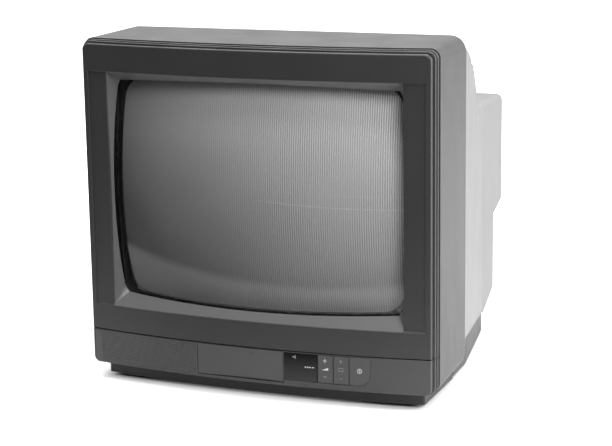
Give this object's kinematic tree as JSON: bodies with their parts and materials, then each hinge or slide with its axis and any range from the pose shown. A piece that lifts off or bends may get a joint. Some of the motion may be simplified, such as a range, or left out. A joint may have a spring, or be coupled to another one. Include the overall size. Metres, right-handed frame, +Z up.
{
  "type": "cathode ray tube television",
  "caption": "Portable colour television with a bowed front frame, cathode ray tube, control strip with drop-down flap, deep rear cover and the full set of works inside.",
  "frame": {"origin": "on the resting plane, in the middle of the width and of the depth, under the middle of the bounding box", "axes": "+X to the viewer's right, +Y from the screen to the back, +Z up"},
  "size_m": [0.353, 0.3756, 0.334],
  "materials": {
    "charcoal_plastic": "fine spark-textured charcoal plastic, satin",
    "strip_plastic": "smooth satin grey plastic",
    "cover_plastic": "coarse textured grey plastic",
    "window_acrylic": "smoked acrylic, polished",
    "key_plastic": "smooth satin grey plastic",
    "black_plastic": "moulded black plastic",
    "white_plastic": "moulded off-white plastic",
    "panel_glass": "tinted polished glass",
    "funnel_coating": "glass with matt graphite coating",
    "clear_glass": "clear glass",
    "phosphor": "grey-green phosphor stripes",
    "steel": "zinc plated steel",
    "dark_steel": "blackened steel sheet",
    "aluminium": "extruded aluminium",
    "ferrite": "sintered ferrite",
    "copper": "enamelled copper wire",
    "pcb": "paper-phenolic board with solder mask",
    "rubber": "soft black rubber",
    "cone_paper": "pressed paper cone",
    "components": "sleeved components",
    "lead_red": "silicone insulated lead"
  },
  "bodies": {
    "root": {"anode_lead": "lead_red", "av_socket": "black_plastic", "base_tray": "cover_plastic", "board_components": "components", "chassis_frame": "black_plastic", "chopper_transformer": "components", "control_board": "pcb", "cord_grommet": "rubber", "crt_base": "black_plastic", "crt_faceplate": "panel_glass", "crt_funnel": "funnel_coating", "crt_neck": "clear_glass", "crt_socket": "white_plastic", "degaussing_coil": "black_plastic", "display_window": "window_acrylic", "electrolytic_capacitors": "components", "electron_gun": "steel", "flyback_transformer": "black_plastic", "front_cabinet": "charcoal_plastic", "headphone_socket": "black_plastic", "heat_sinks": "aluminium", "inner_screws": "steel", "key_carrier": "black_plastic", "magnet_sleeve": "black_plastic", "main_board": "pcb", "mains_filter": "components", "mains_lead": "rubber", "mains_plug": "rubber", "mask_frame": "dark_steel", "neck_board": "pcb", "phosphor_screen": "phosphor", "rear_cover": "cover_plastic", "rear_cover_screws": "steel", "rim_band": "steel", "rubber_feet": "rubber", "setup_tray": "black_plastic", "shadow_mask": "dark_steel", "speaker_frame": "dark_steel", "speaker_grille": "strip_plastic", "speaker_magnet": "ferrite", "standby_lamp": "lead_red", "tuner": "steel", "yoke_clamp": "steel", "yoke_coils": "copper", "yoke_core": "ferrite", "yoke_leads": "lead_red", "yoke_liner": "white_plastic"},
    "flap": {"flap_door": "strip_plastic"},
    "volume_key": {"volume_rocker": "key_plastic"},
    "programme_key": {"programme_rocker": "key_plastic"},
    "standby_key": {"standby_button": "key_plastic"},
    "setup_key_1": {"setup_button_1": "key_plastic"},
    "setup_key_2": {"setup_button_2": "key_plastic"},
    "setup_key_3": {"setup_button_3": "key_plastic"},
    "cone": {"speaker_cone": "cone_paper"},
    "focus_control": {"focus_knob": "white_plastic"},
    "screen_control": {"screen_knob": "white_plastic"},
    "purity_magnet": {"purity_ring": "ferrite"},
    "convergence_magnet": {"convergence_ring": "ferrite"}
  },
  "joints": [
    {"name": "flap_hinge", "type": "hinge", "parent": "root", "child": "flap", "pos_m": [0, -0.1846, 0.0227], "axis": [1, 0, 0], "range_deg": [0, 90]},
    {"name": "volume_rock", "type": "hinge", "parent": "root", "child": "volume_key", "pos_m": [0.07405, -0.1798, 0.0358], "axis": [1, 0, 0], "range_deg": [-2.5, 2.5]},
    {"name": "programme_rock", "type": "hinge", "parent": "root", "child": "programme_key", "pos_m": [0.08915, -0.1798, 0.0358], "axis": [1, 0, 0], "range_deg": [-2.5, 2.5]},
    {"name": "standby_press", "type": "slide", "parent": "root", "child": "standby_key", "axis": [0, 1, 0], "range_m": [0, 0.002]},
    {"name": "setup_press_1", "type": "slide", "parent": "root", "child": "setup_key_1", "axis": [0, 1, 0], "range_m": [0, 0.001]},
    {"name": "setup_press_2", "type": "slide", "parent": "root", "child": "setup_key_2", "axis": [0, 1, 0], "range_m": [0, 0.001]},
    {"name": "setup_press_3", "type": "slide", "parent": "root", "child": "setup_key_3", "axis": [0, 1, 0], "range_m": [0, 0.001]},
    {"name": "cone_stroke", "type": "slide", "parent": "root", "child": "cone", "axis": [0, 1, 0], "range_m": [-0.001, 0.001]},
    {"name": "focus_turn", "type": "hinge", "parent": "root", "child": "focus_control", "pos_m": [0.086, 0.1048, 0.08005], "axis": [0, 1, 0], "range_deg": [-135, 135]},
    {"name": "screen_turn", "type": "hinge", "parent": "root", "child": "screen_control", "pos_m": [0.086, 0.1048, 0.06005], "axis": [0, 1, 0], "range_deg": [-135, 135]},
    {"name": "purity_turn", "type": "hinge", "parent": "root", "child": "purity_magnet", "pos_m": [0, 0.0818, 0.19], "axis": [0, 1, 0], "continuous": true},
    {"name": "convergence_turn", "type": "hinge", "parent": "root", "child": "convergence_magnet", "pos_m": [0, 0.0938, 0.19], "axis": [0, 1, 0], "continuous": true}
  ]
}
